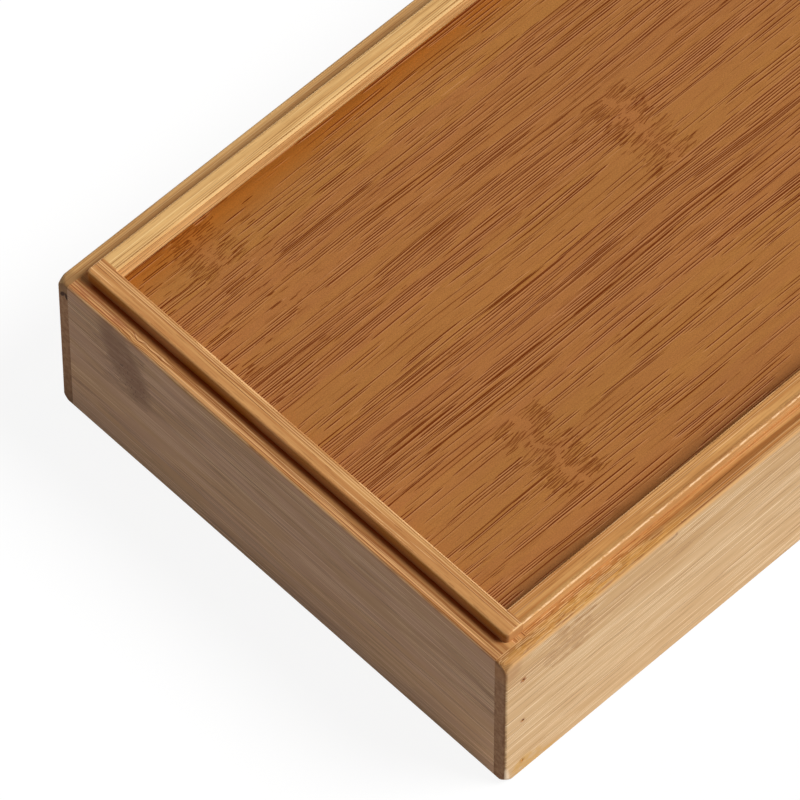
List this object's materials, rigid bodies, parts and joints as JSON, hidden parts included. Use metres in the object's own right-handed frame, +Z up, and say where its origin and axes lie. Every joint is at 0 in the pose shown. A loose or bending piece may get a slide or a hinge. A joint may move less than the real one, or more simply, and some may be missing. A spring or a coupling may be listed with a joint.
{
  "type": "tea bag drawer box",
  "caption": "Low stacking bamboo box with one drawer, divided into compartments for tea bags, and a sunken top panel inside a raised locating tongue.",
  "frame": {"origin": "middle of the footprint, on the surface the box stands on", "axes": "+Z up, -Y out of the drawer front, +X to the right of someone facing the drawer; +Y is the longest side"},
  "size_m": [0.254, 0.356, 0.091],
  "materials": {
    "case_bamboo": "satin natural bamboo, clear lacquer",
    "caramel_bamboo": "satin carbonised bamboo, clear lacquer",
    "drawer_bamboo": "satin natural bamboo, clear lacquer",
    "brad_steel": "dull"
  },
  "bodies": {
    "case": {"side_board_left": "case_bamboo", "side_board_right": "case_bamboo", "back_board": "case_bamboo", "front_top_rail": "case_bamboo", "front_bottom_rail": "case_bamboo", "top_panel": "caramel_bamboo", "bottom_panel": "case_bamboo", "runner_left": "case_bamboo", "runner_right": "case_bamboo", "case_brads": "brad_steel"},
    "drawer": {"drawer_front": "drawer_bamboo", "drawer_side_left": "drawer_bamboo", "drawer_side_right": "drawer_bamboo", "drawer_back": "drawer_bamboo", "drawer_bottom": "drawer_bamboo", "long_divider_1": "drawer_bamboo", "long_divider_2": "drawer_bamboo", "cross_divider_1": "drawer_bamboo", "cross_divider_2": "drawer_bamboo", "cross_divider_3": "drawer_bamboo", "drawer_brads": "brad_steel"}
  },
  "joints": [
    {"name": "drawer_slide", "type": "slide", "parent": "case", "child": "drawer", "axis": [0, -1, 0], "range_m": [0, 0.314]}
  ]
}
